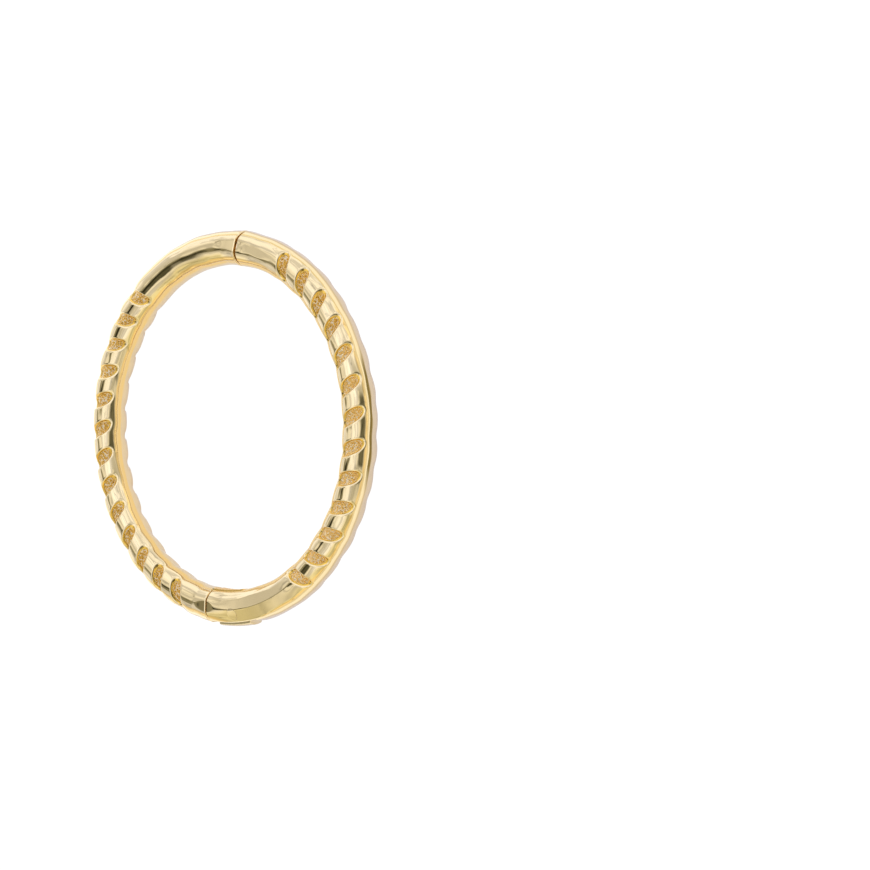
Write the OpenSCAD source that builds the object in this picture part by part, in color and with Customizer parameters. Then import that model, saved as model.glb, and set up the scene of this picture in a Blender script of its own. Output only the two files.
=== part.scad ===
// Hinged hoop earring of round gold wire, roped by slanted notches on both faces.
// The hoop lies on its side: its front face looks up, the hinge is at -Y and the clasp at +Y.

/* [Hoop] */
// Radius of the wire's centre line
hoop_r = 7.5; // [7.2:0.1:9]
// Thickness of the wire
wire_d = 1.5; // [1.46:0.02:1.6]

/* [Seams] */
// Gap between the two halves at the clasp
clasp_gap = 0.14; // [0.08:0.02:0.2]
// Gap between the two halves at the hinge
hinge_gap = 0.08; // [0.06:0.02:0.12]

/* [Rope notches] */
// Notches in each row
notch_count = 13; // [5:1:13]
// Step from one notch to the next, in degrees round the hoop
notch_step = 9.6; // [9:0.1:9.7]
// Hinge seam to the first notch on the slotted half, in degrees
slotted_start = 42.9; // [40:0.1:44]
// Hinge seam to the first notch on the swinging half, in degrees
swing_start = 14.7; // [14.7:0.1:18]
// How far the slotted half's back row is moved on from its front row, in degrees
back_shift = 5.4; // [0:0.2:5.4]
// Depth of a notch at its middle
notch_depth = 0.18; // [0.1:0.01:0.2]
// Radius of the notch's round section
notch_r = 0.3; // [0.26:0.01:0.32]
// Slant of a notch from straight across the wire, in degrees
notch_slant = 20; // [10:1:28]
// How far the slotted half's rows are turned round the wire, outwards at the front, in degrees
slotted_turn = 8; // [0:1:10]
// How far the swinging half's rows are turned the same way, in degrees
swing_turn = 3; // [0:1:6]

/* [Hinge] */
// Distance of the pin from the hinge seam, along the hoop
pin_from_seam = 1.5; // [1.4:0.05:1.6]
// Depth of the pin's centre below the outer side of the hoop
pin_depth = 0.45; // [0.44:0.01:0.48]
// Thickness of the pin
pin_d = 0.5; // [0.4:0.02:0.5]
// Thickness of the tongue
tongue_t = 0.68; // [0.5:0.02:0.7]
// Length of the tongue's slot on the inner side of the hoop
slot_inner_l = 1.77; // [1.7:0.01:1.85]
// Length of the tongue's slot on the outer side of the hoop
slot_outer_l = 2.81; // [2.7:0.01:2.9]
// Distance from the hinge seam to where the tongue starts to stand proud
tongue_step = 0.55; // [0.4:0.05:0.7]
// How far the tongue stands out past the outer side of the hoop
tongue_proud = 0.06; // [0:0.01:0.08]
// How far the tongue lies below the inner side of the hoop
tongue_sunk = 0.03; // [0.02:0.01:0.08]
// Gap between the tongue and each wall of its slot
hinge_play = 0.035; // [0.03:0.005:0.05]

/* [Clasp] */
// Thickness of the peg
peg_d = 0.62; // [0.5:0.02:0.64]
// Length of the peg past the clasp seam, without its round tip
peg_reach = 1.3; // [0.8:0.1:1.4]
// Length of the peg inside the swinging half
peg_seat = 1.2; // [0.8:0.1:1.4]
// How far the peg starts inside the wire's centre line
peg_inset = 0.13; // [0.1:0.01:0.16]
// Gap round the peg in its catch
peg_play = 0.04; // [0.03:0.01:0.05]

/* [Hidden] */
$fn = 96;

gold = "#d9b65c";
wire_r = wire_d / 2;
outer_r = hoop_r + wire_r;
inner_r = hoop_r - wire_r;
// Directions from the hoop's centre, in degrees from +X
clasp_dir = 90;
hinge_dir = -90;
// Room for cuts to pass right through
over = 1;
// Stretch of wire round the hinge that holds the whole tongue, in degrees from the hinge seam
hinge_reach = [-10, 30];
// Gap round a pin or peg that is fixed in its seat
seat_gap = 0.01;
// Gap round the pin where the tongue turns on it
pin_play = 0.03;

// Angle that a length takes up round an arc
function round_deg(length, radius) = length / radius * 180 / PI;
// Point at a direction and distance from the hoop's centre
function round_at(dir, radius) = [radius * cos(dir), radius * sin(dir)];

// The hinge pin's place
pin_orbit = outer_r - pin_depth;
pin_at = round_at(hinge_dir + round_deg(pin_from_seam, pin_orbit), pin_orbit);
pin_r = pin_d / 2;
// The pin's ends follow the wire's surface, a little below it
pin_sink = 0.02;

// The slot's end wall leans: it is nearer the seam on the inner side of the hoop
slot_inner = round_at(hinge_dir + round_deg(slot_inner_l, inner_r), inner_r);
slot_outer = round_at(hinge_dir + round_deg(slot_outer_l, outer_r), outer_r);
slot_lean = (slot_outer - slot_inner) / norm(slot_outer - slot_inner);
// Direction into the metal behind the end wall
slot_in = [-slot_lean.y, slot_lean.x];
slot_t = tongue_t + 2 * hinge_play;
// Half the wire's width where the slot's sides cut its surface
slot_edge = sqrt(wire_r * wire_r - slot_t * slot_t / 4);

// The tongue's end is round about the pin and just clears the end wall
wall_from_pin = (slot_inner - pin_at) * slot_in;
tongue_end_r = wall_from_pin - hinge_play;

// The slotted half's outer corner is eased to let the swinging half's end face past
ease_r = pin_at.x + (hinge_gap - hinge_play) / 2;

// The peg's tapered tip
tip_l = 0.3;
tip_r = peg_d / 5;
// The peg lies on an arc about the hinge pin, so that it swings straight out of its catch
peg_start = [0, hoop_r - peg_inset] - pin_at;
peg_r = peg_d / 2;
peg_orbit = norm(peg_start);
peg_dir = atan2(peg_start.y, peg_start.x);

// The notch tool's round section runs along an arc, so a notch is deepest at its middle
tool_run_r = 2.2;
tool_run_deg = 60;
tool_centre_z = wire_r + notch_r - notch_depth - tool_run_r;

// A stretch of round wire of radius r between two directions
module wire(from, to, r) {
    rotate([0, 0, from])
        rotate_extrude(angle = to - from)
            translate([hoop_r, 0])
                circle(r = r);
}

// A stretch of round rod about the hinge pin, from its seat end towards the catch
module peg_rod(r, seat_length, reach) {
    turn = round_deg(seat_length + reach, peg_orbit);
    translate(pin_at)
        rotate([0, 0, peg_dir - round_deg(reach, peg_orbit)])
            rotate_extrude(angle = turn)
                translate([peg_orbit, 0])
                    circle(r = r);
}

// The tool that cuts one notch, on a wire along Y with the notch at its top
module notch_tool() {
    rotate([0, 0, notch_slant])
        translate([0, 0, tool_centre_z])
            rotate([90, 0, 0])
                rotate([0, 0, 90 - tool_run_deg / 2])
                    rotate_extrude(angle = tool_run_deg)
                        translate([tool_run_r, 0])
                            circle(r = notch_r);
}

// One row of notches; flip is 0 for the front face and 180 for the back face
module notch_row(first, step, turn, flip) {
    for (i = [0 : notch_count - 1])
        rotate([0, 0, first + i * step])
            translate([hoop_r, 0, 0])
                rotate([0, flip + turn, 0])
                    notch_tool();
}

// A plate of the given thickness, level with the middle of the wire
module plate(thickness) {
    translate([0, 0, -thickness / 2])
        linear_extrude(height = thickness)
            children();
}

// The slot's outline seen from above, open to the seam and to both sides of the hoop;
// short moves its end wall that much towards the seam
module slot_outline(short) {
    polygon([
        [-over, -inner_r + over],
        slot_inner - slot_lean * over - slot_in * short,
        slot_outer + slot_lean * over - slot_in * short,
        [-over, -outer_r - over]
    ]);
}

// The tongue's outline seen from above
module tongue_outline() {
    seam_x = -hinge_gap / 2;
    edge_y = -hoop_r - slot_edge;
    // Where the end wall comes nearest the pin: the tongue is round below it
    nearest = pin_at + slot_in * wall_from_pin;
    intersection() {
        difference() {
            circle(r = outer_r + tongue_proud);
            circle(r = inner_r + tongue_sunk);
        }
        union() {
            translate(pin_at)
                circle(r = tongue_end_r);
            translate([tongue_step, -outer_r - over])
                square([pin_at.x - tongue_step, wire_d]);
            intersection() {
                slot_outline(hinge_play);
                polygon([
                    [seam_x, edge_y],
                    [pin_at.x, edge_y],
                    pin_at,
                    nearest,
                    [nearest.x, -inner_r + over],
                    [seam_x, -inner_r + over]
                ]);
            }
        }
    }
}

// The tongue, rounded to the wire, with a root that goes into the swinging half
module tongue() {
    root = 0.4;
    root_w = 1.1;
    intersection() {
        plate(tongue_t)
            tongue_outline();
        wire(hinge_dir + hinge_reach[0], hinge_dir + hinge_reach[1], wire_r + tongue_proud);
    }
    plate(tongue_t)
        translate([-root, -hoop_r - root_w / 2])
            square([2 * root, root_w]);
}

// What is cut from the slotted half's outer corner at the seam
module corner_ease() {
    plate(wire_d + 2 * over)
        difference() {
            translate([pin_at.x - wire_d, pin_at.y - wire_d])
                square(wire_d);
            translate(pin_at)
                circle(r = ease_r);
        }
}

// A hole for the hinge pin, right through
module pin_hole(gap) {
    translate([pin_at.x, pin_at.y, -wire_d])
        cylinder(r = pin_r + gap, h = 2 * wire_d);
}

module slotted_half() {
    from = hinge_dir + round_deg(hinge_gap / 2, hoop_r);
    to = clasp_dir - round_deg(clasp_gap / 2, hoop_r);
    first = hinge_dir + slotted_start;
    color(gold)
        translate([0, 0, wire_r])
            difference() {
                wire(from, to, wire_r);
                notch_row(first, notch_step, slotted_turn, 0);
                notch_row(first + back_shift, notch_step, slotted_turn, 180);
                plate(slot_t)
                    slot_outline(0);
                corner_ease();
                pin_hole(seat_gap);
                peg_rod(peg_r + peg_play, over, peg_reach + tip_l + 2 * peg_play);
            }
}

module swing_half() {
    from = clasp_dir + round_deg(clasp_gap / 2, hoop_r);
    to = hinge_dir + 360 - round_deg(hinge_gap / 2, hoop_r);
    first = hinge_dir - swing_start;
    color(gold)
        translate([0, 0, wire_r])
            difference() {
                union() {
                    wire(from, to, wire_r);
                    tongue();
                }
                notch_row(first, -notch_step, swing_turn, 0);
                notch_row(first, -notch_step, swing_turn, 180);
                pin_hole(pin_play);
                peg_rod(peg_r + seat_gap, peg_seat + seat_gap, over);
            }
}

module hinge_pin() {
    color(gold)
        translate([0, 0, wire_r])
            intersection() {
                translate([pin_at.x, pin_at.y, -wire_r])
                    cylinder(r = pin_r, h = wire_d);
                wire(hinge_dir, hinge_dir + hinge_reach[1], wire_r - pin_sink);
            }
}

module clasp_peg() {
    tip = peg_dir - round_deg(peg_reach, peg_orbit);
    color(gold)
        translate([0, 0, wire_r])
            union() {
                peg_rod(peg_r, peg_seat, peg_reach);
                translate(pin_at + peg_orbit * [cos(tip), sin(tip)])
                    rotate([90, 0, tip])
                        cylinder(r1 = peg_r, r2 = tip_r, h = tip_l);
            }
}

slotted_half();
swing_half();
hinge_pin();
clasp_peg();
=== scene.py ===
import math
import bmesh
import bpy
import numpy as np
from mathutils import Euler, Matrix, Vector, noise


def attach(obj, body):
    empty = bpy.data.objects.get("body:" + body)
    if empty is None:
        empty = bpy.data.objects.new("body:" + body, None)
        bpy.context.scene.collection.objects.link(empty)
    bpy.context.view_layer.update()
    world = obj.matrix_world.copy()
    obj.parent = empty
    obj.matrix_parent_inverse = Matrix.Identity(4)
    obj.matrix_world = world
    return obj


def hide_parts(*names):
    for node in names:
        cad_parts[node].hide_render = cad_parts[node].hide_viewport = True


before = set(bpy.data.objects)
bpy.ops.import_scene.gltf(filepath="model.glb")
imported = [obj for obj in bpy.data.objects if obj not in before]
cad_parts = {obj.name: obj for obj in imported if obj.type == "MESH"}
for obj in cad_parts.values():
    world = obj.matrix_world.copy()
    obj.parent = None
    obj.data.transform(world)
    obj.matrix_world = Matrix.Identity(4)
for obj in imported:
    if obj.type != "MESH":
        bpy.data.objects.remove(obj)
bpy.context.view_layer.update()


# The setting: a white table top inside a white tent, with a dark opening for the lens and a few dark gaps
# in the tent that the gold mirrors. The camera looks down on the hoop, which lies on its side.
# Lengths are in millimetres and angles in degrees where nothing else is said.
MM = 0.001
# The camera's place, turn and lens, and the width of the table top
EYE = (149.598, 20.554, 146.934)
EYE_TURN = (-0.90527, 43.61355, 6.68642)
LENS = 208.0
TABLE = 1200.0
TENT_GLOW = 1.20
# What the gold mirrors besides the white tent. Each place: direction round from +X and height over the table,
# half its width and height, how soft its edge is, and the tint and share of light it leaves
PLACES = [
    (-40, 3, 110, 10, 10, (1.0, 0.82, 0.50)),
    (3, 30, 20, 15, 12, (0.21, 0.21, 0.16)),
    (-6, 30, 44, 26, 20, (0.72, 0.70, 0.60)),
    (-146, 51, 22, 8, 7, (0.09, 0.09, 0.06)),
    (-163, 41, 11, 7, 5, (0.34, 0.33, 0.25)),
    (-161, 64, 9, 14, 8, (0.26, 0.25, 0.18)),
    (-160, 50, 60, 22, 24, (0.84, 0.82, 0.74)),
    (3, -26, 9, 8, 8, (0.45, 0.42, 0.34)),
    (34, -6, 24, 16, 14, (1.20, 1.24, 1.30)),
    (-88, 20, 50, 15, 20, (0.86, 0.80, 0.50)),
    (90, 66, 80, 14, 24, (1.14, 1.16, 1.22)),
]
# Soft clouds and thin folds in the tent's cloth: how fine, detailed and bent they are, the least share of
# light they leave, and where in the noise they are darkest and end. A fold runs where the noise is FOLD_AT
CLOUDS = (3.4, 2.0, 0.4, 0.64, 0.36, 0.60)
FOLDS = (2.8, 0.5, 0.8, 0.66, 0.004, 0.03)
FOLD_AT = 0.52
# The card's painted light and shade that the gold mirrors: its tint by distance from the hoop's centre in
# millimetres
CARD_REACH = 24.0
PAINTED_CARD_RINGS = (
    (0.0, (0.86, 0.76, 0.56)), (5.0, (0.84, 0.70, 0.44)), (6.5, (0.75, 0.73, 0.75)),
    (8.7, (0.73, 0.72, 0.83)), (9.2, (0.68, 0.62, 0.54)), (10.0, (1.0, 0.98, 0.92)),
    (12.5, (1.0, 0.98, 0.90)), (16.0, (0.78, 0.71, 0.52)),
)
# The hoop's own shadow is a thin dark arc on the card, seen only in the gold. Its middle, how far from there
# it stays full and where it ends: out from the hoop's centre in millimetres, and round from +X in degrees
ARC_TINT = (0.24, 0.20, 0.09)
ARC_OUT = (9.95, 0.575, 1.15)
ARC_ROUND = (10.0, 15.0, 25.0)
# The card is lit less towards the right: from and to along X, in millimetres, and the share of light there
CARD_SIDES = (-14.0, 2.0, 0.98, 0.78)
CARD_GLOW = 0.5
BACKLIGHT = 1.12
# How much of what the camera sees of the card is its backlight
BACKLIT_SHARE = 0.88
# Light goes to and fro many times between the gold walls of the seams
BOUNCES = 12

eye = bpy.data.objects.new("eye", bpy.data.cameras.new("eye"))
bpy.context.scene.collection.objects.link(eye)
eye.location = Vector(EYE) * MM
eye.rotation_euler = Euler([math.radians(a) for a in EYE_TURN])
eye.data.lens = LENS
eye.data.clip_start = 0.01
eye.data.clip_end = 10
bpy.context.scene.camera = eye
bpy.context.scene.view_settings.view_transform = "Standard"
bpy.context.scene.cycles.glossy_bounces = BOUNCES


def link(tree, start, end):
    tree.links.new(start, end)


def maths(tree, operation, *values, clamp=False):
    """A Math node fed with sockets or plain numbers; returns its result."""
    node = tree.nodes.new("ShaderNodeMath")
    node.operation = operation
    node.use_clamp = clamp
    for socket, value in zip(node.inputs, values):
        if isinstance(value, (int, float)):
            socket.default_value = value
        else:
            link(tree, value, socket)
    return node.outputs[0]


def ramped(tree, value, low, high, start=0.0, end=1.0):
    """Turns a value between low and high smoothly into one between start and end."""
    node = tree.nodes.new("ShaderNodeMapRange")
    node.interpolation_type = "SMOOTHSTEP"
    link(tree, value, node.inputs["Value"])
    for name, number in (("From Min", low), ("From Max", high), ("To Min", start), ("To Max", end)):
        node.inputs[name].default_value = number
    return node.outputs["Result"]


def mixed_colour(tree, share, first, second):
    """Goes from the first colour to the second; each is three numbers or a socket."""
    node = tree.nodes.new("ShaderNodeMix")
    node.data_type = "RGBA"
    link(tree, share, node.inputs["Factor"])
    for name, value in (("A", first), ("B", second)):
        if isinstance(value, bpy.types.NodeSocket):
            link(tree, value, node.inputs[name])
        else:
            node.inputs[name].default_value = (*value, 1)
    return node.outputs["Result"]


tent = bpy.data.worlds.new("tent")
bpy.context.scene.world = tent
tent.use_nodes = True
sky = tent.node_tree
sky.nodes.clear()
way = sky.nodes.new("ShaderNodeTexCoord").outputs["Generated"]
light = None
for turn, height, half_w, half_h, blur, tint in PLACES:
    rotate = sky.nodes.new("ShaderNodeVectorRotate")
    rotate.rotation_type = "Z_AXIS"
    rotate.inputs["Angle"].default_value = math.radians(-turn)
    link(sky, way, rotate.inputs["Vector"])
    split = sky.nodes.new("ShaderNodeSeparateXYZ")
    link(sky, rotate.outputs[0], split.inputs[0])
    aside = maths(sky, "ABSOLUTE", maths(sky, "ARCTAN2", split.outputs["Y"], split.outputs["X"]))
    above = maths(sky, "ARCSINE", split.outputs["Z"])
    above = maths(sky, "ABSOLUTE", maths(sky, "SUBTRACT", above, math.radians(height)))
    edge = math.radians(blur) / 2
    in_w = ramped(sky, aside, math.radians(half_w) - edge, math.radians(half_w) + edge, 1.0, 0.0)
    in_h = ramped(sky, above, math.radians(half_h) - edge, math.radians(half_h) + edge, 1.0, 0.0)
    dim = sky.nodes.new("ShaderNodeMix")
    dim.data_type = "RGBA"
    dim.blend_type = "MULTIPLY"
    link(sky, maths(sky, "MULTIPLY", in_w, in_h), dim.inputs["Factor"])
    dim.inputs["A"].default_value = (1, 1, 1, 1)
    if light is not None:
        link(sky, light, dim.inputs["A"])
    dim.inputs["B"].default_value = (*tint, 1)
    light = dim.outputs["Result"]
for (fine, detail, bend, least, darkest, clear), thin in ((CLOUDS, False), (FOLDS, True)):
    cloth = sky.nodes.new("ShaderNodeTexNoise")
    cloth.inputs["Scale"].default_value = fine
    cloth.inputs["Detail"].default_value = detail
    cloth.inputs["Distortion"].default_value = bend
    link(sky, way, cloth.inputs["Vector"])
    cover = cloth.outputs["Fac"]
    if thin:
        cover = maths(sky, "ABSOLUTE", maths(sky, "SUBTRACT", cover, FOLD_AT))
    dim = sky.nodes.new("ShaderNodeVectorMath")
    dim.operation = "SCALE"
    link(sky, light, dim.inputs[0])
    link(sky, ramped(sky, cover, darkest, clear, least, 1.0), dim.inputs["Scale"])
    light = dim.outputs[0]
glow = sky.nodes.new("ShaderNodeBackground")
glow.inputs["Strength"].default_value = TENT_GLOW
link(sky, light, glow.inputs["Color"])
link(sky, glow.outputs[0], sky.nodes.new("ShaderNodeOutputWorld").inputs["Surface"])

top = bmesh.new()
bmesh.ops.create_grid(top, x_segments=1, y_segments=1, size=TABLE * MM / 2)
top_mesh = bpy.data.meshes.new("table_top")
top.to_mesh(top_mesh)
top.free()
table_top = bpy.data.objects.new("table_top", top_mesh)
bpy.context.scene.collection.objects.link(table_top)
# The card is lit from behind, so that it looks white from above with hardly a shadow on it
white = bpy.data.materials.new("white_card")
white.use_nodes = True
card = white.node_tree
card.nodes.clear()
paper = card.nodes.new("ShaderNodeBsdfDiffuse")
on_card = card.nodes.new("ShaderNodeTexCoord").outputs["Object"]
split = card.nodes.new("ShaderNodeSeparateXYZ")
link(card, on_card, split.inputs[0])
# Painted light on the card: a painted warm glow from the gold inside the hoop, and painted bright and dull
# rings round it
reach = card.nodes.new("ShaderNodeVectorMath")
reach.operation = "LENGTH"
link(card, on_card, reach.inputs[0])
rings = card.nodes.new("ShaderNodeValToRGB")
rings.color_ramp.interpolation = "EASE"
link(card, maths(card, "DIVIDE", reach.outputs["Value"], CARD_REACH * MM), rings.inputs["Fac"])
for _ in PAINTED_CARD_RINGS[2:]:
    rings.color_ramp.elements.new(0.5)
# The places come first, because the ramp sorts its spots by them
for spot, (radius, _) in zip(rings.color_ramp.elements, PAINTED_CARD_RINGS):
    spot.position = radius / CARD_REACH
for spot, (_, tint) in zip(rings.color_ramp.elements, PAINTED_CARD_RINGS):
    spot.color = (*tint, 1)
arc = None
round_x = maths(card, "ARCTAN2", split.outputs["Y"], split.outputs["X"])
for value, unit, (middle, full, end) in (
        (reach.outputs["Value"], MM, ARC_OUT), (round_x, math.radians(1), ARC_ROUND)):
    off = maths(card, "ABSOLUTE", maths(card, "SUBTRACT", value, middle * unit))
    part = ramped(card, off, full * unit, end * unit, 1.0, 0.0)
    arc = part if arc is None else maths(card, "MULTIPLY", arc, part)
tinted = mixed_colour(card, arc, rings.outputs["Color"], ARC_TINT)
shaded = card.nodes.new("ShaderNodeVectorMath")
shaded.operation = "SCALE"
link(card, tinted, shaded.inputs[0])
left, right, left_share, right_share = CARD_SIDES
side_light = ramped(card, split.outputs["X"], left * MM, right * MM, left_share, right_share)
link(card, side_light, shaded.inputs["Scale"])
link(card, shaded.outputs[0], paper.inputs["Color"])
# The card's painted rings and arc glow as well, so that the gold mirrors them brighter
glowing = card.nodes.new("ShaderNodeEmission")
link(card, tinted, glowing.inputs["Color"])
glowing.inputs["Strength"].default_value = CARD_GLOW
lit_card = card.nodes.new("ShaderNodeAddShader")
link(card, paper.outputs[0], lit_card.inputs[0])
link(card, glowing.outputs[0], lit_card.inputs[1])
backlight = card.nodes.new("ShaderNodeEmission")
backlight.inputs["Strength"].default_value = BACKLIGHT
seen = maths(card, "MULTIPLY", card.nodes.new("ShaderNodeLightPath").outputs["Is Camera Ray"], BACKLIT_SHARE)
mixed = card.nodes.new("ShaderNodeMixShader")
link(card, seen, mixed.inputs[0])
link(card, lit_card.outputs[0], mixed.inputs[1])
link(card, backlight.outputs[0], mixed.inputs[2])
link(card, mixed.outputs[0], card.nodes.new("ShaderNodeOutputMaterial").inputs["Surface"])
table_top.data.materials.append(white)


# The slotted half: the right half of the hoop, solid round gold wire, polished, with a row of slanted notches
# on the front and one on the back whose floors are frosted. The hinge end is slotted for the tongue and bored
# for the pin, and the clasp end has a blind hole that catches the peg.
HOOP_R = 7.5
WIRE_R = 0.75
OUTER_R = HOOP_R + WIRE_R
INNER_R = HOOP_R - WIRE_R
CLASP_GAP = 0.14
HINGE_GAP = 0.08
NOTCHES = 13
NOTCH_STEP = 9.6
NOTCH_DEPTH = 0.18
NOTCH_R = 0.3
NOTCH_SLANT = 20.0
NOTCH_RUN_R = 2.2
# Which way the middles of the two rows face round the wire
FRONT_ROW = 82.0
BACK_ROW = 262.0
SLOTTED_START = 42.9
BACK_SHIFT = 5.4
PIN_R = 0.25
PIN_DEPTH = 0.45
PIN_FROM_SEAM = 1.5
SLOT_HALF = 0.375
SLOT_INNER = 1.77
SLOT_OUTER = 2.81
PEG_R = 0.31
PEG_INSET = 0.13
PEG_REACH = 1.3
PEG_TIP = 0.3
PEG_PLAY = 0.04
PIN_SEAM = 0.005
# How far the peg's cutter starts outside the seam, and half the length of the one for the pin
CUT_OVER, BORE_HALF = 1.0, 2.0
# Mesh points round the pin and its holes, and round and along the peg and its holes
BORE_POINTS = 64
ROD_POINTS, ROD_STEPS = 48, 12
# The wire's mesh: points round it, mesh steps inside a notch, on the land between two and on plain wire
ROUND = 144
IN_NOTCH = 15
ON_LAND = 12
PLAIN_CELL, PLAIN_LEAST = 0.09, 3
# How far each side of a notch's middle its edges are looked for, at how many points, and how many of them it
# covers at least. Past its tips the mesh opens up over this share of the way to the other face's row
EDGE_SEARCH, EDGE_POINTS, EDGE_LEAST = 5, 2001, 12
TIP_OPENS = 0.25
# Rounding of the notches' lips, how wide it is meshed, and how deep the frosting starts and is full
LIP = 0.05
LIP_REACH = (0.07, 0.04, 0.018)
FROST_FROM, FROST_FULL = 0.03, 0.13
# The skin in a notch is found by halving the way from here to the wire's own radius
DEEPEST, HALVINGS = 0.35, 26
# A notch drops steeply to its floor; the smaller the number, the steeper
DROP = 0.06
# Hand polishing leaves the wire a little uneven: how deep and long its waves are, how much finer the waves on
# them, and their share
WAVE_DEEP = 0.06
WAVE_LONG = 1.6
WAVE_FINER, WAVE_FINE_SHARE = 2.3, 0.45
WAVE_GAIN = 0.6
# The waves fade out over the first angle at the ends of a half. Past a direction, and in full a little past
# it, they also keep off the slot: there are none this near its edges, and they are whole a little further off
END_FADE = 6.0
SLOT_FADE = (-62.0, 6.0)
SLOT_EDGE_FADE = (5.0, 15.0)
SLOTTED_SEED = 0.0
SLOTTED_FLUTE = 0.045
# Flats filed on the wire: direction round the hoop, half length, the way they face round the wire, and depth.
# They ease in from their ends, and the lift keeps each to the side that it faces
FLATS = (
    (-91.0, 5.5, 86.0, 0.045), (-67.0, 24.0, 98.0, 0.075), (-67.0, 24.0, 62.0, 0.080),
    (81.0, 9.0, 84.0, 0.050), (93.0, 7.0, 80.0, 0.045),
)
FLAT_EASE, FLAT_LIFT = 1.6, 0.3
# Each notch runs on round the wire as a shallow polished flute, which gives the rope its scalloped outline.
# It starts, is full, begins to fade and has lost a share of its depth at these angles from the row. Past the
# end that trails it has only a small share of that depth
FLUTE_FROM, FLUTE_FULL, FLUTE_FADE, FLUTE_FADED = 18.0, 42.0, 62.0, 90.0
FLUTE_LOSS = 0.6
FLUTE_TAIL = 0.2
# The larger this is, the narrower are the flutes
FLUTE_NARROW = 1.5
# The coarsest grain of the frosted floors
GRAIN_DEEP = 0.02
GRAIN_WIDE = 0.075
# Rounding of the wire's cut ends and of the slot's edges
RIM = 0.045
SLOT_RIM = 0.012
# Edges of a half that turn by more than the first of these, in radians, are rounded off, and edges of a
# finished piece that turn by more than the second look crisp
CRISP_TURN, SHARP_TURN = 0.6, 0.3
# Frost is marked in the rows of notches, as far as this many degrees past the outer notches' middles
ROW_REACH = 4
# Elsewhere the skin is marked raw from this much deeper than polishing goes, in full this much deeper still,
# and within so many degrees of the wire's cut ends. AS_CUT marks metal left as it was cut, and 1 the stretch
# that holds the tongue, where the metal is left as cut and a reflection of gold in gold is painted
RAW_FROM, RAW_OVER = 0.03, 0.02
END_WIDE = 0.03
AS_CUT = 0.5
TONGUE_STRETCH = (-90.2, -50.0)
# The tongue's outer edge is polished with the wire, and its inner one is left as it was filed and painted
# with a
# reflection of the gold beside it: distances out from the wire's centre line, in millimetres, and the mark at
# each
TONGUE_RAW_AND_REFLECTION = ((0.2, 0.7), (1.0, 0.45))


def degrees_of(length, radius):
    return math.degrees(length / radius)


def at(direction, radius):
    a = math.radians(direction)
    return Vector((radius * math.cos(a), radius * math.sin(a), 0.0))


PIN_ORBIT = OUTER_R - PIN_DEPTH
PIN_AT = at(-90 + degrees_of(PIN_FROM_SEAM, PIN_ORBIT), PIN_ORBIT)
WALL_INNER = at(-90 + degrees_of(SLOT_INNER, INNER_R), INNER_R)
WALL_OUTER = at(-90 + degrees_of(SLOT_OUTER, OUTER_R), OUTER_R)
WALL_LEAN = (WALL_OUTER - WALL_INNER).normalized()
WALL_IN = Vector((-WALL_LEAN.y, WALL_LEAN.x, 0.0))
PEG_START = Vector((0, HOOP_R - PEG_INSET, 0)) - PIN_AT
PEG_ORBIT = PEG_START.length
PEG_DIR = math.degrees(math.atan2(PEG_START.y, PEG_START.x))


def tool_overlap(theta, phi, r, middle):
    """How far inside the notch tool a point of the wire is; theta is in degrees from the notch's middle."""
    t, f = np.radians(theta), np.radians(phi)
    out = (HOOP_R + r * np.cos(f)) * np.cos(t) - HOOP_R
    along = (HOOP_R + r * np.cos(f)) * np.sin(t)
    up = r * np.sin(f)
    tilt, slant = math.radians(middle - 90), math.radians(NOTCH_SLANT)
    across = out * math.cos(tilt) + up * math.sin(tilt)
    up = -out * math.sin(tilt) + up * math.cos(tilt)
    u = across * math.cos(slant) + along * math.sin(slant)
    v = -across * math.sin(slant) + along * math.cos(slant)
    run_z = WIRE_R + NOTCH_R - NOTCH_DEPTH - NOTCH_RUN_R
    return NOTCH_R - np.hypot(np.hypot(u, up - run_z) - NOTCH_RUN_R, v)


def notch_edges(turn):
    """For each point round the wire, the middle and half width of the notch there, in degrees round the hoop.
    Off the notches the two change over smoothly from the front row to the back one."""
    fan = np.linspace(-EDGE_SEARCH, EDGE_SEARCH, EDGE_POINTS)
    rows = np.arange(ROUND) * 360 / ROUND
    middle, half, back = np.zeros(ROUND), np.zeros(ROUND), np.zeros(ROUND)
    found = np.zeros(ROUND, bool)
    for j, phi in enumerate(rows):
        face = (FRONT_ROW if phi < 180 else BACK_ROW) + turn
        inside = tool_overlap(fan, phi, WIRE_R, face) > 0
        back[j] = phi >= 180
        if inside.sum() > EDGE_LEAST:
            found[j] = True
            low, high = fan[inside][0], fan[inside][-1]
            middle[j], half[j] = (low + high) / 2, (high - low) / 2
    plain_half = NOTCH_STEP * IN_NOTCH / (IN_NOTCH + ON_LAND + 2 * len(LIP_REACH)) / 2
    for j in np.flatnonzero(~found):
        before, after = j, j
        while not found[before % ROUND]:
            before -= 1
        while not found[after % ROUND]:
            after += 1
        share = (j - before) / (after - before)
        ease = share * share * (3 - 2 * share)
        before, after = before % ROUND, after % ROUND
        middle[j] = middle[before] * (1 - share) + middle[after] * share
        back[j] = (rows[before] >= 180) * (1 - ease) + (rows[after] >= 180) * ease
        tip = half[before] * (1 - share) + half[after] * share
        open_up = min(1.0, min(share, 1 - share) / TIP_OPENS)
        half[j] = tip + (plain_half - tip) * open_up
    return middle, half, back


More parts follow.
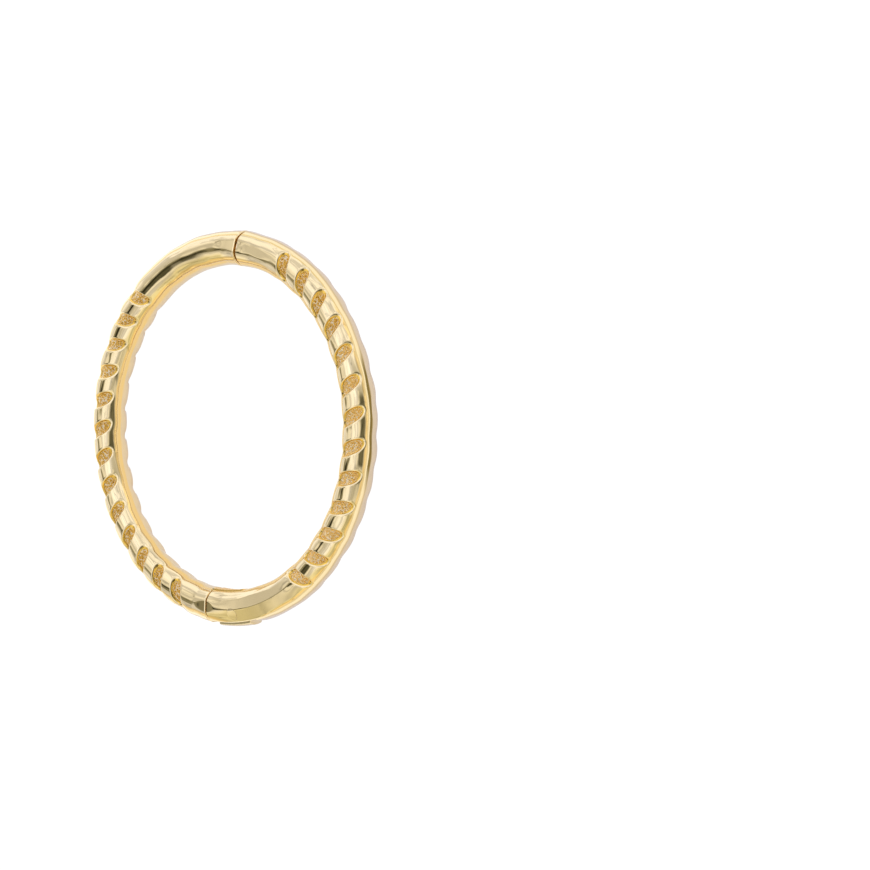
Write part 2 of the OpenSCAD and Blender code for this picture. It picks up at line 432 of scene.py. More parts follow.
def wire_stations(start, end, rows, wall=None):
    """Where each ring of the mesh crosses each row round the wire, in degrees round the hoop."""
    first, _, back_shift, turn, _ = rows
    middle, half, back = notch_edges(turn)
    sense = 1 if end > start else -1
    scale = sense * math.degrees(1 / HOOP_R)
    inward = 0.5 - 0.5 * np.cos(np.pi * np.arange(IN_NOTCH + 1) / IN_NOTCH)
    columns, stops = [0], [np.full(ROUND, start)]

    def next_stop(place, cells=1):
        columns.append(columns[-1] + cells)
        stops.append(place)

    def plain_to(place):
        span = math.radians(abs(float(np.mean(place - stops[-1])))) * HOOP_R
        next_stop(place, max(PLAIN_LEAST, round(span / PLAIN_CELL)))

    wall_column = None
    if wall is not None:
        plain_to(wall)
        wall_column = columns[-1]
    for i in range(NOTCHES):
        centre = first + i * sense * NOTCH_STEP + back * back_shift + middle
        near = centre - sense * half
        if i == 0:
            plain_to(near - LIP_REACH[0] * scale)
        else:
            next_stop(near - LIP_REACH[0] * scale, ON_LAND)
        for reach in LIP_REACH[1:]:
            next_stop(near - reach * scale)
        for share in inward:
            next_stop(near + 2 * sense * half * share)
        for reach in LIP_REACH[::-1]:
            next_stop(centre + sense * half + reach * scale)
    plain_to(np.full(ROUND, end))
    every = np.arange(columns[-1] + 1)
    table = np.stack([np.interp(every, columns, [s[j] for s in stops]) for j in range(ROUND)], 1)
    return table, wall_column


def smooth_max(a, b, k):
    h = np.maximum(k - np.abs(a - b), 0)
    return np.maximum(a, b) + h * h / (4 * k)


def flute_depth(theta, line, phi, rows):
    """How deep the flutes are that carry the notches on round the wire, in millimetres; line is the middle
    of the notch or flute at that point round the wire, in degrees from the notch's own middle."""
    first, step, _, turn, deep = rows
    along = (theta - line - first) / step
    in_row = (along > -0.5) & (along < NOTCHES - 0.5)
    wave = np.where(in_row, 0.5 + 0.5 * np.cos(math.tau * along), 0) ** FLUTE_NARROW
    face = np.where(phi < 180, FRONT_ROW, BACK_ROW) + turn
    lead = ((phi - face + 180) % 360 - 180) * np.sign(step)
    aside, deep = np.abs(lead), deep * np.where(lead > 0, 1, FLUTE_TAIL)
    rise = np.clip((aside - FLUTE_FROM) / (FLUTE_FULL - FLUTE_FROM), 0, 1)
    fade = np.clip((aside - FLUTE_FADE) / (FLUTE_FADED - FLUTE_FADE), 0, 1)
    return deep * wave * rise * rise * (3 - 2 * rise) * (1 - FLUTE_LOSS * fade)


def surface_radius(theta, phi, rows):
    """Distance of the finished surface from the wire's centre line, notches cut, lips rounded; rows is the
    first notch, the step, the back row's shift, how far the rows are turned round the wire and the flutes'
    depth."""
    first, step, back_shift, turn, _ = rows
    on_back = phi >= 180
    rel = theta - first - np.where(on_back, back_shift, 0.0)
    rel = rel - step * np.clip(np.rint(rel / step), 0, NOTCHES - 1)
    low, high = np.full(theta.shape, DEEPEST), np.full(theta.shape, WIRE_R)

    def outside(r):
        over = np.where(
            on_back,
            tool_overlap(rel, phi, r, BACK_ROW + turn),
            tool_overlap(rel, phi, r, FRONT_ROW + turn),
        )
        return smooth_max(r - WIRE_R, over, LIP) > 0

    for _ in range(HALVINGS):
        half = (low + high) / 2
        out = outside(half)
        low, high = np.where(out, low, half), np.where(out, half, high)
    sunk = np.where(outside(np.full(theta.shape, WIRE_R - 1e-6)), WIRE_R - (low + high) / 2, 0)
    return WIRE_R - NOTCH_DEPTH * (1 - np.exp(-sunk / DROP)) / (1 - math.exp(-NOTCH_DEPTH / DROP))


def skin_worn(theta, phi, start, end, seed, slotted):
    """How far hand polishing and filing have worn the plain skin down, in millimetres. At the ends, and
    beside the slot, only the filing counts."""
    worn = np.empty(theta.shape)
    for i, (t, f) in enumerate(zip(theta, phi)):
        a, b = math.radians(t), math.radians(f)
        r = HOOP_R + WIRE_R * math.cos(b)
        p = Vector((r * math.cos(a), r * math.sin(a), WIRE_R * math.sin(b) + seed)) / WAVE_LONG
        worn[i] = noise.noise(p) + WAVE_FINE_SHARE * noise.noise(p * WAVE_FINER)
    worn = WAVE_DEEP * np.clip(0.5 + WAVE_GAIN * worn, 0, 1)
    worn *= np.clip(np.minimum(np.abs(theta - start), np.abs(end - theta)) / END_FADE, 0, 1)
    if slotted:
        near = np.clip((SLOT_FADE[0] - theta) / SLOT_FADE[1], 0, 1)
        edge = np.abs(np.abs((phi + 90) % 180 - 90) - math.degrees(math.asin(SLOT_HALF / WIRE_R)))
        worn *= 1 - near * (1 - np.clip((edge - SLOT_EDGE_FADE[0]) / SLOT_EDGE_FADE[1], 0, 1))
    filed = np.zeros(theta.shape)
    for direction, reach, facing, deep in FLATS:
        share = np.clip(FLAT_EASE * (1 - np.abs((theta - direction + 180) % 360 - 180) / reach), 0, 1)
        lift = np.maximum(np.cos(np.radians(phi - facing)), FLAT_LIFT)
        over = np.maximum((WIRE_R - worn) * lift - (WIRE_R - deep), 0) / lift
        filed = np.maximum(filed, share ** 2 * (3 - 2 * share) * over)
    return worn + filed


def round_off(bm, edges, width, segments=2):
    bmesh.ops.bevel(
        bm, geom=edges, offset=width, offset_type="OFFSET", segments=segments, profile=0.5,
        affect="EDGES", material=-1, clamp_overlap=True,
    )


def shaped_wire(start, end, rows, seed, wall=None):
    """A half of the hoop as a bmesh in millimetres: a sheet rolled into round wire and bent round the hoop's
    centre, its rings moved to the notches' edges and its skin sunk into the notches; wall is where the
    tongue's slot ends."""
    stations, wall_column = wire_stations(start, end, rows, wall)
    count = len(stations) - 1
    bm = bmesh.new()
    bmesh.ops.create_grid(bm, x_segments=count, y_segments=ROUND, size=0.5)
    column, row = bm.verts.layers.int.new("column"), bm.verts.layers.int.new("row")
    for v in bm.verts:
        v[column] = round((v.co.x + 0.5) * count)
        v[row] = round((v.co.y + 0.5) * ROUND) % ROUND
        a = math.radians(start + (end - start) * v[column] / count)
        b = math.tau * v[row] / ROUND
        out = HOOP_R + WIRE_R * math.cos(b)
        v.co = (out * math.cos(a), out * math.sin(a), WIRE_R * math.sin(b))
    bmesh.ops.remove_doubles(bm, verts=[v for v in bm.verts if v[row] == 0], dist=1e-4)

    if wall is not None:
        # The slot is cut out of the skin between its two edges, and its three walls are bridged across
        side = round(math.degrees(math.asin(SLOT_HALF / WIRE_R)) * ROUND / 360)
        front_out, front_in = side, ROUND // 2 - side
        back_in, back_out = ROUND // 2 + side, ROUND - side
        outer_rows = set(range(back_out, ROUND)) | set(range(side + 1))
        inner_rows = set(range(front_in, back_in + 1))
        gone = [
            f for f in bm.faces
            if all(v[column] <= wall_column for v in f.verts)
            and (all(v[row] in outer_rows for v in f.verts) or all(v[row] in inner_rows for v in f.verts))
        ]
        bmesh.ops.delete(bm, geom=gone, context="FACES")

        def run(on_rows, columns):
            return [
                e for e in bm.edges
                if e.is_boundary and all(v[row] in on_rows and v[column] in columns for v in e.verts)
            ]

        along = range(wall_column + 1)
        bmesh.ops.bridge_loops(bm, edges=run({front_out}, along) + run({front_in}, along))
        bmesh.ops.bridge_loops(bm, edges=run({back_out}, along) + run({back_in}, along))
        bmesh.ops.bridge_loops(bm, edges=run(outer_rows, {wall_column}) + run(inner_rows, {wall_column}))
    bmesh.ops.holes_fill(bm, edges=[e for e in bm.edges if e.is_boundary], sides=0)
    bmesh.ops.recalc_face_normals(bm, faces=bm.faces)
    crisp = bm.edges.layers.int.new("crisp")
    for e in bm.edges:
        if e.calc_face_angle(0) > CRISP_TURN:
            rim = any(len(f.verts) > 4 for f in e.link_faces)
            e[crisp] = 1 if rim else 2

    k = np.array([v[column] for v in bm.verts])
    j = np.array([v[row] for v in bm.verts])
    theta, phi = stations[k, j], j * 360.0 / ROUND
    r = surface_radius(theta, phi, rows)
    sunk = WIRE_R - r
    middle, _, back = notch_edges(rows[3])
    r = r - flute_depth(theta, middle[j] + back[j] * rows[2], phi, rows)
    r = r - skin_worn(theta, phi, start, end, seed, wall is not None)
    for i in np.flatnonzero(sunk > FROST_FROM):
        a, b = math.radians(theta[i]), math.radians(phi[i])
        p = Vector((
            (HOOP_R + r[i] * math.cos(b)) * math.cos(a),
            (HOOP_R + r[i] * math.cos(b)) * math.sin(a),
            r[i] * math.sin(b),
        )) / GRAIN_WIDE
        full = min(1.0, (sunk[i] - FROST_FROM) / (FROST_FULL - FROST_FROM))
        r[i] -= GRAIN_DEEP * full * noise.noise(p)
    a, b = np.radians(theta), np.radians(phi)
    x, y = (HOOP_R + r * np.cos(b)) * np.cos(a), (HOOP_R + r * np.cos(b)) * np.sin(a)
    for v, *place in zip(bm.verts, x, y, r * np.sin(b)):
        v.co = place
    for kind, width in ((1, RIM), (2, SLOT_RIM)):
        edges = [e for e in bm.edges if e[crisp] == kind]
        if edges:
            round_off(bm, edges, width)
    return bm


def as_object(bm, name):
    mesh = bpy.data.meshes.new(name)
    bm.to_mesh(mesh)
    bm.free()
    made = bpy.data.objects.new(name, mesh)
    bpy.context.scene.collection.objects.link(made)
    return made


def cut_or_join(piece, tool, operation):
    """Cuts the tool from the piece, or joins it on, and takes the tool away."""
    change = piece.modifiers.new(operation, "BOOLEAN")
    change.operation, change.object, change.solver = operation, tool, "EXACT"
    graph = bpy.context.evaluated_depsgraph_get()
    mesh = bpy.data.meshes.new_from_object(piece.evaluated_get(graph))
    piece.modifiers.clear()
    old = piece.data
    piece.data = mesh
    bpy.data.meshes.remove(old)
    bpy.data.objects.remove(tool)


def peg_angle(reach):
    return PEG_DIR - degrees_of(reach, PEG_ORBIT)


def peg_rod(bm, radius, start, end):
    """A stretch of round rod on the peg's arc about the hinge pin; start and end are lengths into the slotted
    half from the clasp. Returns the ring at each of its ends."""
    ring = bmesh.ops.create_circle(bm, radius=radius, segments=ROD_POINTS)["verts"]
    edges = bm.edges[-ROD_POINTS:]
    begin, finish = math.radians(peg_angle(start)), math.radians(peg_angle(end))
    bmesh.ops.rotate(bm, verts=ring, cent=(0, 0, 0), matrix=Matrix.Rotation(math.pi / 2, 3, "X"))
    bmesh.ops.translate(bm, verts=ring, vec=(PEG_ORBIT, 0, 0))
    bmesh.ops.rotate(bm, verts=ring, cent=(0, 0, 0), matrix=Matrix.Rotation(begin, 3, "Z"))
    bmesh.ops.translate(bm, verts=ring, vec=PIN_AT)
    spun = bmesh.ops.spin(
        bm, geom=ring + edges, cent=PIN_AT, axis=(0, 0, 1), angle=finish - begin,
        steps=ROD_STEPS, use_merge=False, use_duplicate=False,
    )
    return ring, [v for v in spun["geom_last"] if isinstance(v, bmesh.types.BMVert)]


def pull_up(bm, faces, height):
    """Draws faces out upwards into a body and returns the new top."""
    out = bmesh.ops.extrude_face_region(bm, geom=list(faces), use_keep_orig=True)["geom"]
    bmesh.ops.translate(bm, verts=[g for g in out if isinstance(g, bmesh.types.BMVert)], vec=(0, 0, height))
    return next(g for g in out if isinstance(g, bmesh.types.BMFace))


def drill(piece, pin_r, peg_r, start, end):
    """Drills the hinge pin's hole right through a half, and the peg's hole into its clasp end."""
    cuts = bmesh.new()
    for ring in peg_rod(cuts, peg_r, start, end):
        bmesh.ops.contextual_create(cuts, geom=ring)
    bore = bmesh.ops.create_circle(cuts, cap_ends=True, radius=pin_r, segments=BORE_POINTS)["verts"]
    bmesh.ops.translate(cuts, verts=bore, vec=PIN_AT - Vector((0, 0, BORE_HALF)))
    pull_up(cuts, bore[0].link_faces, 2 * BORE_HALF)
    bmesh.ops.recalc_face_normals(cuts, faces=cuts.faces)
    cut_or_join(piece, as_object(cuts, "cuts"), "DIFFERENCE")


def finished(piece, body, node, paint, rows=None, ends=()):
    """Marks which of a piece's skin is frosted, left as cut or painted with a reflection of gold in gold, and
    which of its edges are crisp, scales it from millimetres to its place in the frame, hides the part it
    stands for and attaches it to its body; ends is where the wire is cut off."""
    bm = bmesh.new()
    bm.from_mesh(piece.data)
    frost, raw_and_reflection = bm.verts.layers.float.new("frost"), bm.verts.layers.float.new("raw_and_reflection")
    notched = rows is not None
    if notched:
        first, step, back_shift = rows[:3]
        spots = np.array([v.co[:] for v in bm.verts])
        theta = np.degrees(np.arctan2(spots[:, 1], spots[:, 0]))
        apart = np.hypot(spots[:, 0], spots[:, 1]) - HOOP_R
        phi = np.degrees(np.arctan2(spots[:, 2], apart)) % 360
        sunk = WIRE_R - np.hypot(apart, spots[:, 2])
        middle = first + (step * (NOTCHES - 1) + back_shift) / 2
        reach = abs(step * (NOTCHES - 1) + back_shift) / 2 + ROW_REACH
        in_rows = np.abs((theta - middle + 180) % 360 - 180) < reach
        near = middle + (theta - middle + 180) % 360 - 180
        depth = WIRE_R - surface_radius(near, phi, rows)
        covered = np.where(in_rows, np.clip((depth - FROST_FROM) / (FROST_FULL - FROST_FROM), 0, 1), 0)
        bare_and_reflection = np.where(in_rows, 0, np.clip((sunk - WAVE_DEEP - RAW_FROM) / RAW_OVER, 0, 1))
        # On the tongue and the stretch that holds it the mark can go past AS_CUT: there a reflection of gold
        # in gold is painted
        on_tongue = (theta > TONGUE_STRETCH[0]) & (theta < TONGUE_STRETCH[1])
        if body == "swing_body":
            bare_and_reflection[on_tongue] = np.interp(apart[on_tongue], *TONGUE_RAW_AND_REFLECTION)
        else:
            bare_and_reflection *= np.where(on_tongue, 1, AS_CUT)
        for end in ends:
            bare_and_reflection[np.abs((theta - end + 180) % 360 - 180) < END_WIDE] = AS_CUT
        for v, frosted, cut in zip(bm.verts, covered, bare_and_reflection):
            v[frost], v[raw_and_reflection] = frosted, cut
        bm.verts.index_update()
    for f in bm.faces:
        f.smooth = True
    for e in bm.edges:
        if notched and in_rows[e.verts[0].index]:
            continue
        e.smooth = e.calc_face_angle(0) < SHARP_TURN
    bmesh.ops.translate(bm, verts=bm.verts, vec=(0, 0, WIRE_R))
    bmesh.ops.scale(bm, verts=bm.verts, vec=(MM, MM, MM))
    bm.to_mesh(piece.data)
    bm.free()
    piece.data.materials.clear()
    piece.data.materials.append(paint)
    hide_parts(node)
    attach(piece, body)


def noise_value(tree, where, size, detail=2.0, rough=0.5, stretch=0.0):
    """Noise whose waves are about size metres long."""
    node = tree.nodes.new("ShaderNodeTexNoise")
    node.inputs["Scale"].default_value = 1 / size
    node.inputs["Detail"].default_value = detail
    node.inputs["Roughness"].default_value = rough
    node.inputs["Distortion"].default_value = stretch
    link(tree, where, node.inputs["Vector"])
    return node.outputs["Fac"]


# What hand polishing leaves on gold: faint soft ripples, much finer scratches drawn out along Z, and smears.
# Their sizes are in metres, the scratches' depth is a share of the ripples', and smears are this much duller
RIPPLE_SIZE = 0.0009
SCRATCH_SIZE, SCRATCH_DRAWN, SCRATCH_DEEP = 0.00007, 3.0, 0.02
SMEAR_SIZE, SMEAR_SPAN, SMEARED = 0.0013, (0.35, 0.75), 2.2

polish = bpy.data.node_groups.new("hand_polish", "ShaderNodeTree")
for label, side, kind in (
        ("Where", "INPUT", "NodeSocketVector"), ("Dull", "INPUT", "NodeSocketFloat"),
        ("Relief", "OUTPUT", "NodeSocketFloat"), ("Roughness", "OUTPUT", "NodeSocketFloat")):
    polish.interface.new_socket(name=label, in_out=side, socket_type=kind)
given = polish.nodes.new("NodeGroupInput").outputs
result = polish.nodes.new("NodeGroupOutput").inputs
drag = polish.nodes.new("ShaderNodeMapping")
drag.inputs["Scale"].default_value = (1.0, 1.0, SCRATCH_DRAWN)
link(polish, given["Where"], drag.inputs["Vector"])
scratch = noise_value(polish, drag.outputs[0], SCRATCH_SIZE, 3.0, 0.6, 0.6)
scratch = maths(polish, "MULTIPLY", scratch, SCRATCH_DEEP)
ripple = noise_value(polish, given["Where"], RIPPLE_SIZE)
link(polish, maths(polish, "ADD", ripple, scratch), result["Relief"])
smear = ramped(polish, noise_value(polish, given["Where"], SMEAR_SIZE, 3.0), *SMEAR_SPAN)
duller = ramped(polish, smear, 0.0, 1.0, 1.0, SMEARED)
link(polish, maths(polish, "MULTIPLY", given["Dull"], duller), result["Roughness"])


def attribute(tree, name):
    node = tree.nodes.new("ShaderNodeAttribute")
    node.attribute_name = name
    return node.outputs["Fac"]


# Gold is duller where it is left as cut. Deeper colours are painted: a reflection of gold in gold close by,
# and painted shade and reflection on the notches' walls
YELLOW = (0.89, 0.73, 0.455)
CUT_GOLD = (0.90, 0.76, 0.50)
TONGUE_REFLECTION_GOLD = (0.93, 0.62, 0.20)
NOTCH_WALL_SHADE = (0.82, 0.52, 0.09)
# The floors of the notches, the painted shade in their pits and the painted glints on their brightest grains.
# The slotted half's floors are lighter, all but those next to the clasp: from and to along X, and along Y, in
# metres
DARKER_FLOOR, DARKER_PIT_SHADE = (0.86, 0.53, 0.12), (0.258, 0.1007, 0.0084)
LIGHTER_FLOOR, LIGHTER_PIT_SHADE = (1.0, 0.67, 0.24), (0.92, 0.47, 0.09)
PAINTED_GLINT = (1.0, 0.87, 0.68)
LIGHTER_X, LIGHTER_Y = (0.0, 0.002), (0.0039, 0.0052)
# A floor's relief: the size of its grains and of the grit on them in metres, the grains' share, and its depth
GRAIN_SIZE, GRIT_SIZE, GRAIN_SHARE, GRAIN_RELIEF = 0.00009, 0.00005, 0.8, 0.00006
# Where in the relief the painted shade of the pits turns to floor, and floor to painted glints
PIT_SPAN, GLINT_SPAN = (0.45, 0.75), (0.90, 1.12)
# The mark of frost at which a notch's wall has its painted shade and reflection, and at which its grainy
# floor starts
WALL_FROST, FLOOR_FROST = 0.2, 0.5
# How much rougher frosted and raw metal are
FROST_ROUGH, RAW_ROUGH = 0.22, 0.25
# A thin lacquer on the polished skin
LACQUER, LACQUER_ROUGH, LACQUER_INDEX = 0.75, 0.05, 1.55


def gold(name, colour, ripple_deep, dull, notched=False):
    """Polished gold, lightly lacquered; a notched piece has frosted floors and metal left as cut too, with
    painted shade, glints and reflections.
    """
    paint = bpy.data.materials.new(name)
    paint.use_nodes = True
    tree = paint.node_tree
    shader = tree.nodes["Principled BSDF"]
    shader.inputs["Metallic"].default_value = 1.0
    where = tree.nodes.new("ShaderNodeTexCoord").outputs["Object"]
    marks = tree.nodes.new("ShaderNodeGroup")
    marks.node_tree = polish
    link(tree, where, marks.inputs["Where"])
    marks.inputs["Dull"].default_value = dull
    bump = tree.nodes.new("ShaderNodeBump")
    bump.inputs["Distance"].default_value = ripple_deep
    bump.inputs["Strength"].default_value = 1.0
    link(tree, marks.outputs["Relief"], bump.inputs["Height"])
    roughness = marks.outputs["Roughness"]
    shader.inputs["Coat Roughness"].default_value = LACQUER_ROUGH
    shader.inputs["Coat IOR"].default_value = LACQUER_INDEX
    shader.inputs["Coat Weight"].default_value = LACQUER
    if not notched:
        shader.inputs["Base Color"].default_value = (*colour, 1)
        link(tree, roughness, shader.inputs["Roughness"])
        link(tree, bump.outputs[0], shader.inputs["Normal"])
        return paint
    frost, raw_and_reflection = (attribute(tree, name) for name in ("frost", "raw_and_reflection"))
    grains = tree.nodes.new("ShaderNodeTexVoronoi")
    grains.inputs["Scale"].default_value = 1 / GRAIN_SIZE
    link(tree, where, grains.inputs["Vector"])
    grit = noise_value(tree, where, GRIT_SIZE, 3.0, 0.7)
    pits = maths(tree, "ADD", maths(tree, "MULTIPLY", grains.outputs["Distance"], GRAIN_SHARE), grit)
    # The walls of a notch are smooth, and only its floor is grainy
    grainy = ramped(tree, frost, FLOOR_FROST, 1.0)
    rough_floor = tree.nodes.new("ShaderNodeBump")
    rough_floor.inputs["Distance"].default_value = GRAIN_RELIEF
    link(tree, maths(tree, "MULTIPLY", pits, grainy), rough_floor.inputs["Height"])
    link(tree, bump.outputs[0], rough_floor.inputs["Normal"])
    link(tree, rough_floor.outputs[0], shader.inputs["Normal"])
    split = tree.nodes.new("ShaderNodeSeparateXYZ")
    link(tree, where, split.inputs[0])
    # The slotted half's floors are lighter in colour, all but those next to the clasp
    lighter_floors = maths(
        tree, "MULTIPLY", ramped(tree, split.outputs["X"], *LIGHTER_X),
        ramped(tree, split.outputs["Y"], *LIGHTER_Y, 1.0, 0.0),
    )
    floor = mixed_colour(tree, lighter_floors, DARKER_FLOOR, LIGHTER_FLOOR)
    # Painted shade darkens the floors' pits, and painted glints light their brightest grains
    pit_shade = mixed_colour(tree, lighter_floors, DARKER_PIT_SHADE, LIGHTER_PIT_SHADE)
    shade = mixed_colour(tree, ramped(tree, pits, *PIT_SPAN), pit_shade, floor)
    shade = mixed_colour(tree, ramped(tree, pits, *GLINT_SPAN), shade, PAINTED_GLINT)
    # A notch's smooth walls get a painted shade and reflection of its floor's gold
    shade = mixed_colour(tree, grainy, NOTCH_WALL_SHADE, shade)
    base = mixed_colour(tree, ramped(tree, raw_and_reflection, 0.0, AS_CUT), colour, CUT_GOLD)
    # Past AS_CUT the mark paints a reflection of gold in gold
    base = mixed_colour(tree, ramped(tree, raw_and_reflection, AS_CUT, 1.0), base, TONGUE_REFLECTION_GOLD)
    base = mixed_colour(tree, ramped(tree, frost, 0.0, WALL_FROST), base, shade)
    link(tree, base, shader.inputs["Base Color"])
    bare_and_reflection = maths(tree, "ADD", frost, raw_and_reflection, clamp=True)
    link(tree, maths(tree, "MULTIPLY_ADD", bare_and_reflection, -LACQUER, LACQUER), shader.inputs["Coat Weight"])
    for mark, more in ((frost, FROST_ROUGH), (raw_and_reflection, RAW_ROUGH)):
        roughness = maths(tree, "ADD", roughness, maths(tree, "MULTIPLY", mark, more))
    link(tree, roughness, shader.inputs["Roughness"])
    return paint


# Where each line of the mesh along the wire meets the slot's leaning end wall, in degrees round the hoop
wall_off, wall_way = WALL_INNER.dot(WALL_IN), math.atan2(WALL_IN.y, WALL_IN.x)
wall_theta = np.array([
    math.degrees(wall_way - math.acos(wall_off / (HOOP_R + WIRE_R * math.cos(turn))))
    for turn in np.arange(ROUND) * math.tau / ROUND
])

hinge_end = -90 + degrees_of(HINGE_GAP / 2, HOOP_R)
clasp_end = 90 - degrees_of(CLASP_GAP / 2, HOOP_R)
SLOTTED_SKIN = (hinge_end, clasp_end)
slotted_rows = (-90 + SLOTTED_START, NOTCH_STEP, BACK_SHIFT, 0.0, SLOTTED_FLUTE)
slotted = as_object(shaped_wire(*SLOTTED_SKIN, slotted_rows, SLOTTED_SEED, wall_theta), "slotted_half_gold")
drill(slotted, PIN_R + PIN_SEAM, PEG_R + PEG_PLAY, PEG_REACH + PEG_TIP + 2 * PEG_PLAY, -CUT_OVER)
yellow = gold("yellow_gold_frosted", YELLOW, ripple_deep=0.0000028, dull=0.05, notched=True)
finished(slotted, "slotted_body", "slotted_half", yellow, slotted_rows, SLOTTED_SKIN)


# The swing half: the left half, of the same wire and with the same rows of notches. A long plain stretch at
# its clasp end passes through the ear. The flat hinge tongue is one solid with it, and fits the other
# half's slot, where it stands a little proud on the outer side.
SWING_START = 14.7
# Its rows are turned a little less far outwards than the slotted half's
SWING_TURN = 5.0
SWING_SEED = 4.0
SWING_FLUTE = 0.070
HINGE_PLAY = 0.035
PIN_PLAY = 0.03
PEG_SEAT = 1.2
SEAT_GAP = 0.01
TONGUE_HALF = 0.34
TONGUE_STEP = 0.55
TONGUE_PROUD = 0.06
TONGUE_SUNK = 0.03
TONGUE_ROOT = (0.4, 0.55)
TONGUE_RIM = 0.012
# Points along the tongue's inner and outer edges, degrees between those round the pin, and how many radians
# past the last of them the outer edge starts
INNER_POINTS, OUTER_POINTS = 16, 24
END_STEP, EDGE_START = 4, 0.004
TONGUE_LAYERS = 12
# Edges that turn by more than this, in radians, are rounded off, here and on the pin
CORNER_TURN = 0.7

hinge_end = -90 - degrees_of(HINGE_GAP / 2, HOOP_R)
clasp_end = -270 + degrees_of(CLASP_GAP / 2, HOOP_R)
swing_rows = (-90 - SWING_START, -NOTCH_STEP, 0.0, SWING_TURN, SWING_FLUTE)
swing = as_object(shaped_wire(hinge_end, clasp_end, swing_rows, SWING_SEED), "swing_half_gold")

seam_x = -HINGE_GAP / 2
sunk_r, proud_r = INNER_R + TONGUE_SUNK, OUTER_R + TONGUE_PROUD
end_r = (WALL_INNER - PIN_AT).dot(WALL_IN) - HINGE_PLAY
flat_y = -HOOP_R - math.sqrt(WIRE_R ** 2 - SLOT_HALF ** 2)
# The tongue's outline, round the way of the clock from the seam's inner side: along the sunk inner edge,
# down the slot's end wall, round the pin, back along the proud outer edge to its step, and to the seam
inner_end = wall_way - math.acos((wall_off - HINGE_PLAY) / sunk_r) + math.pi / 2
outline = [
    Vector((sunk_r * math.sin(t), -sunk_r * math.cos(t), 0))
    for t in np.linspace(math.asin(seam_x / sunk_r), inner_end, INNER_POINTS)
]
turn = wall_way
while True:
    spot = PIN_AT + end_r * Vector((math.cos(turn), math.sin(turn), 0))
    if spot.length > proud_r:
        break
    outline.append(spot)
    turn -= math.radians(END_STEP)
outer_start = math.atan2(outline[-1].x, -outline[-1].y) - EDGE_START
outline += [
    Vector((proud_r * math.sin(t), -proud_r * math.cos(t), 0))
    for t in np.linspace(outer_start, math.asin(TONGUE_STEP / proud_r), OUTER_POINTS)
]
outline += [Vector((TONGUE_STEP, flat_y, 0)), Vector((seam_x, flat_y, 0))]
# The root goes into the swing half
root_l, root_half = TONGUE_ROOT
outline += [
    Vector((x, -HOOP_R + y, 0))
    for x, y in ((seam_x, -root_half), (-root_l, -root_half), (-root_l, root_half), (seam_x, root_half))
]
tongue = bmesh.new()
plate = tongue.faces.new([tongue.verts.new(p) for p in outline])
bmesh.ops.translate(tongue, verts=tongue.verts, vec=(0, 0, -TONGUE_HALF))
for layer in range(TONGUE_LAYERS):
    above = pull_up(tongue, [plate], 2 * TONGUE_HALF / TONGUE_LAYERS)
    if layer > 0:
        bmesh.ops.delete(tongue, geom=[plate], context="FACES_ONLY")
    plate = above
# The outer edge is rounded like the wire
for v in tongue.verts:
    rounded = HOOP_R + math.sqrt((WIRE_R + TONGUE_PROUD) ** 2 - v.co.z ** 2)
    across = math.hypot(v.co.x, v.co.y)
    if across > rounded:
        v.co.x, v.co.y = v.co.x * rounded / across, v.co.y * rounded / across
bmesh.ops.recalc_face_normals(tongue, faces=tongue.faces)
corners = [
    e for e in tongue.edges
    if e.calc_face_angle(0) > CORNER_TURN and max(v.co.x for v in e.verts) > 0
]
round_off(tongue, corners, TONGUE_RIM)
cut_or_join(swing, as_object(tongue, "tongue"), "UNION")
drill(swing, PIN_R + PIN_PLAY, PEG_R + SEAT_GAP, CUT_OVER, -PEG_SEAT - SEAT_GAP)
finished(swing, "swing_body", "swing_half", yellow, swing_rows, (hinge_end, clasp_end))


# The hinge pin: a gold rivet pushed through both cheeks of the slot and the tongue, filed flush with the
# wire and polished over, so that only a hairline shows.
PIN_RINGS = 6
PIN_RIM = 0.006
# The rivet's ends lie this much below the wire's skin
PIN_SINK = 0.002

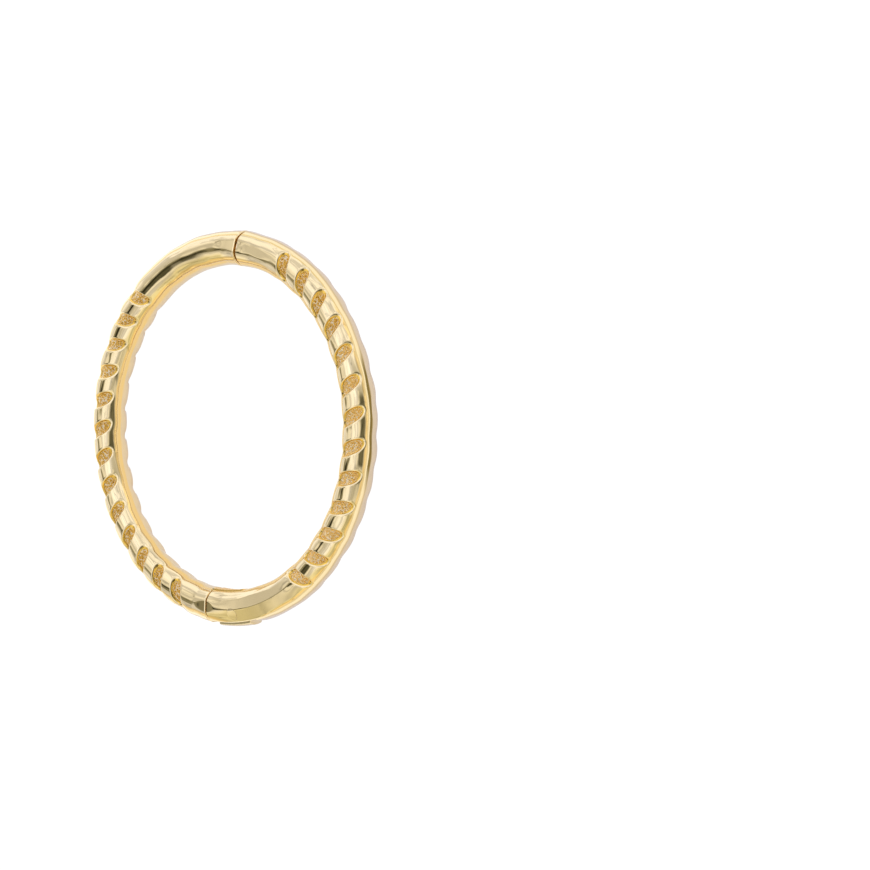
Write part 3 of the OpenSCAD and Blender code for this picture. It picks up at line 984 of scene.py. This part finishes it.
pin = bmesh.new()
bmesh.ops.create_circle(pin, cap_ends=True, radius=PIN_R, segments=BORE_POINTS)
bmesh.ops.translate(pin, verts=pin.verts, vec=PIN_AT)
for _ in range(PIN_RINGS):
    middle = [f for f in pin.faces if len(f.verts) > 4]
    bmesh.ops.inset_region(
        pin, faces=middle, thickness=PIN_R / (PIN_RINGS + 1), use_boundary=True, use_even_offset=True
    )
pull_up(pin, pin.faces[:], WIRE_R)
bmesh.ops.recalc_face_normals(pin, faces=pin.faces)
for v in pin.verts:
    out = math.hypot(v.co.x, v.co.y) - HOOP_R
    flush = math.sqrt(WIRE_R ** 2 - out ** 2) * (1 if v.co.z > WIRE_R / 2 else -1)
    around = math.degrees(math.atan2(flush, out)) % 360
    theta = math.degrees(math.atan2(v.co.y, v.co.x))
    worn = skin_worn(np.array([theta]), np.array([around]), *SLOTTED_SKIN, SLOTTED_SEED, True)[0]
    v.co.z = flush * (1 - (worn + PIN_SINK) / WIRE_R)
round_off(pin, [e for e in pin.edges if e.calc_face_angle(0) > CORNER_TURN], PIN_RIM)
rivet = gold("rivet_gold", YELLOW, ripple_deep=0.0000012, dull=0.06)
finished(as_object(pin, "hinge_rivet"), "slotted_body", "hinge_pin", rivet)


# The clasp peg: a short gold rod soldered into the swing half's end, bent to swing straight into the other
# half's hole, with a tapered tip. It shows only when the hoop is open.
# Thickness of the tip's end as a share of the peg's
PEG_TIP_SHARE = 2 / 5
PEG_RIM, RIM_STEPS = 0.05, 4
# The taper's edge turns by less than the other corners
TAPER_TURN = 0.5
PEG_GOLD = (0.88, 0.72, 0.43)

peg = bmesh.new()
root, front = peg_rod(peg, PEG_R, -PEG_SEAT, PEG_REACH)
bmesh.ops.contextual_create(peg, geom=root)
tip = bmesh.ops.contextual_create(peg, geom=front)["faces"]
towards = math.radians(peg_angle(PEG_REACH) - 90)
moved = bmesh.ops.extrude_face_region(peg, geom=tip)["geom"]
bmesh.ops.delete(peg, geom=tip, context="FACES_ONLY")
moved = [v for v in moved if isinstance(v, bmesh.types.BMVert)]
bmesh.ops.translate(peg, verts=moved, vec=PEG_TIP * Vector((math.cos(towards), math.sin(towards), 0)))
heart = sum((v.co for v in moved), Vector()) / len(moved)
bmesh.ops.scale(peg, verts=moved, vec=[PEG_TIP_SHARE] * 3, space=Matrix.Translation(-heart))
bmesh.ops.recalc_face_normals(peg, faces=peg.faces)
round_off(peg, [e for e in peg.edges if e.calc_face_angle(0) > TAPER_TURN], PEG_RIM, RIM_STEPS)
peg_paint = gold("peg_gold_worn", PEG_GOLD, ripple_deep=0.0000012, dull=0.10)
finished(as_object(peg, "clasp_peg_gold"), "swing_body", "clasp_peg", peg_paint)
